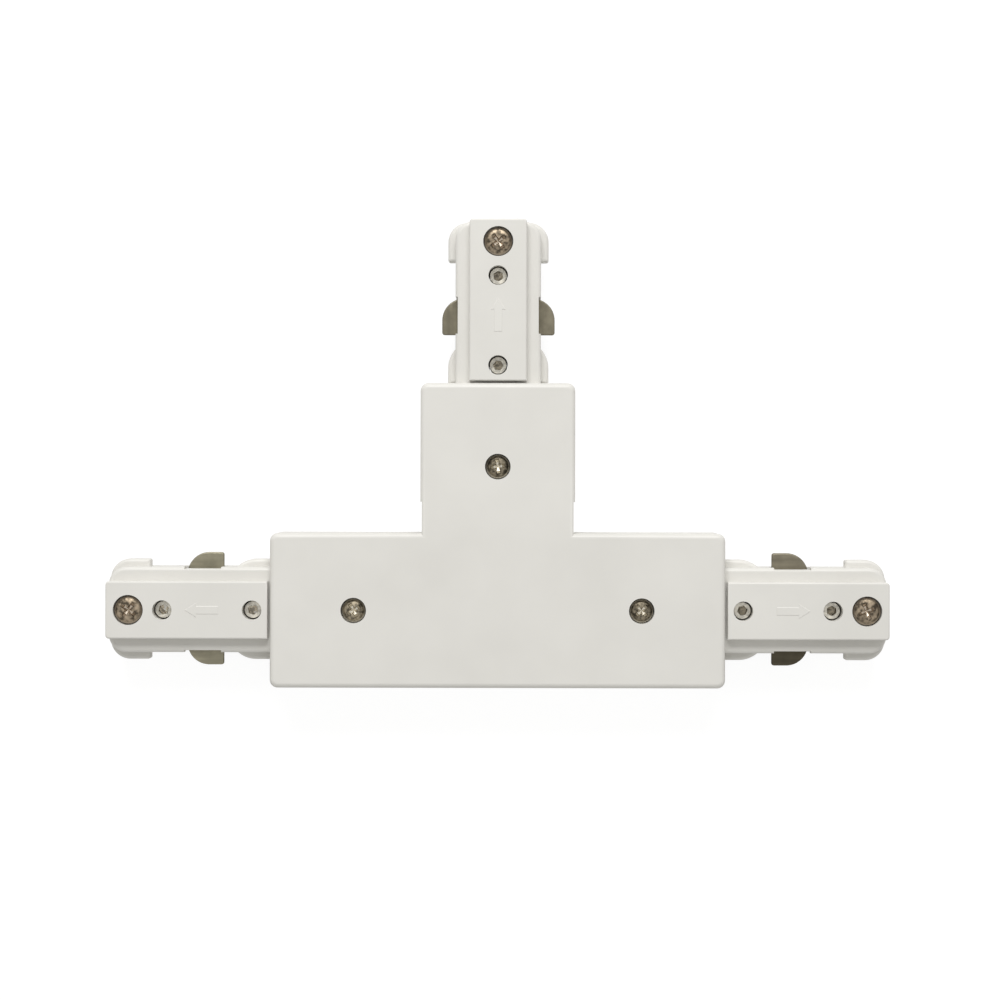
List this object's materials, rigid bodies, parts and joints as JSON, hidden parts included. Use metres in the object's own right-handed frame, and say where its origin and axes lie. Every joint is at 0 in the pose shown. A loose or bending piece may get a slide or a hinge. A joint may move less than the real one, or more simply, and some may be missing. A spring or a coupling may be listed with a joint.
{
  "type": "lighting track connector",
  "caption": "T-shaped connector for a single-circuit lighting track: a flat T housing whose arms end in plugs with side contacts and set screws.",
  "frame": {"origin": "on the back face of the housing, where the centre lines of its arms cross", "axes": "+X along the two arms in line, towards the right plug; +Y along the stem, towards its plug; +Z out of the back face, towards the room"},
  "size_m": [0.1774, 0.1062, 0.018],
  "materials": {
    "white_plastic": "white moulded plastic, fine satin",
    "nickel_contact": "dull nickel-plated strip with an olive tone",
    "brass_strip": "bare brass sheet",
    "nickel_screw": "nickel-plated screw",
    "set_screw_steel": "plain steel, light grey",
    "zinc_steel": "zinc-plated steel"
  },
  "bodies": {
    "root": {"housing_cover": "white_plastic", "housing_base": "white_plastic", "live_busbar": "brass_strip", "neutral_busbar": "brass_strip", "earth_link": "zinc_steel", "housing_screw_right": "nickel_screw", "plug_screw_right": "nickel_screw", "plug_base_right": "white_plastic", "plug_cover_right": "white_plastic", "clamp_bar_right": "zinc_steel", "housing_screw_stem": "nickel_screw", "plug_screw_stem": "nickel_screw", "plug_base_stem": "white_plastic", "plug_cover_stem": "white_plastic", "clamp_bar_stem": "zinc_steel", "housing_screw_left": "nickel_screw", "plug_screw_left": "nickel_screw", "plug_base_left": "white_plastic", "plug_cover_left": "white_plastic", "clamp_bar_left": "zinc_steel"},
    "set_screw_right_inner": {"set_screw_right_inner": "set_screw_steel"},
    "set_screw_right_outer": {"set_screw_right_outer": "set_screw_steel"},
    "contact_right_live": {"contact_right_live": "nickel_contact"},
    "contact_right_neutral": {"contact_right_neutral": "nickel_contact"},
    "set_screw_stem_inner": {"set_screw_stem_inner": "set_screw_steel"},
    "set_screw_stem_outer": {"set_screw_stem_outer": "set_screw_steel"},
    "contact_stem_live": {"contact_stem_live": "nickel_contact"},
    "contact_stem_neutral": {"contact_stem_neutral": "nickel_contact"},
    "set_screw_left_inner": {"set_screw_left_inner": "set_screw_steel"},
    "set_screw_left_outer": {"set_screw_left_outer": "set_screw_steel"},
    "contact_left_live": {"contact_left_live": "nickel_contact"},
    "contact_left_neutral": {"contact_left_neutral": "nickel_contact"}
  },
  "joints": [
    {"name": "set_screw_right_inner_travel", "type": "slide", "parent": "root", "child": "set_screw_right_inner", "axis": [0, 0, -1], "range_m": [0, 0.0038]},
    {"name": "set_screw_right_outer_travel", "type": "slide", "parent": "root", "child": "set_screw_right_outer", "axis": [0, 0, -1], "range_m": [0, 0.0038]},
    {"name": "contact_right_live_flex", "type": "hinge", "parent": "root", "child": "contact_right_live", "pos_m": [0.0465, 0.0074, 0.0053], "axis": [0, 0, -1], "range_deg": [0, 2.5], "stiffness_Nm_per_rad": 1.9},
    {"name": "contact_right_neutral_flex", "type": "hinge", "parent": "root", "child": "contact_right_neutral", "pos_m": [0.0465, -0.0074, 0.0053], "axis": [0, 0, 1], "range_deg": [0, 2.5], "stiffness_Nm_per_rad": 1.9},
    {"name": "set_screw_stem_inner_travel", "type": "slide", "parent": "root", "child": "set_screw_stem_inner", "axis": [0, 0, -1], "range_m": [0, 0.0038]},
    {"name": "set_screw_stem_outer_travel", "type": "slide", "parent": "root", "child": "set_screw_stem_outer", "axis": [0, 0, -1], "range_m": [0, 0.0038]},
    {"name": "contact_stem_live_flex", "type": "hinge", "parent": "root", "child": "contact_stem_live", "pos_m": [-0.0074, 0.0465, 0.0053], "axis": [0, 0, -1], "range_deg": [0, 2.5], "stiffness_Nm_per_rad": 1.9},
    {"name": "contact_stem_neutral_flex", "type": "hinge", "parent": "root", "child": "contact_stem_neutral", "pos_m": [0.0074, 0.0465, 0.0053], "axis": [0, 0, 1], "range_deg": [0, 2.5], "stiffness_Nm_per_rad": 1.9},
    {"name": "set_screw_left_inner_travel", "type": "slide", "parent": "root", "child": "set_screw_left_inner", "axis": [0, 0, -1], "range_m": [0, 0.0038]},
    {"name": "set_screw_left_outer_travel", "type": "slide", "parent": "root", "child": "set_screw_left_outer", "axis": [0, 0, -1], "range_m": [0, 0.0038]},
    {"name": "contact_left_live_flex", "type": "hinge", "parent": "root", "child": "contact_left_live", "pos_m": [-0.0465, 0.0074, 0.0053], "axis": [0, 0, 1], "range_deg": [0, 2.5], "stiffness_Nm_per_rad": 1.9},
    {"name": "contact_left_neutral_flex", "type": "hinge", "parent": "root", "child": "contact_left_neutral", "pos_m": [-0.0465, -0.0074, 0.0053], "axis": [0, 0, -1], "range_deg": [0, 2.5], "stiffness_Nm_per_rad": 1.9}
  ]
}
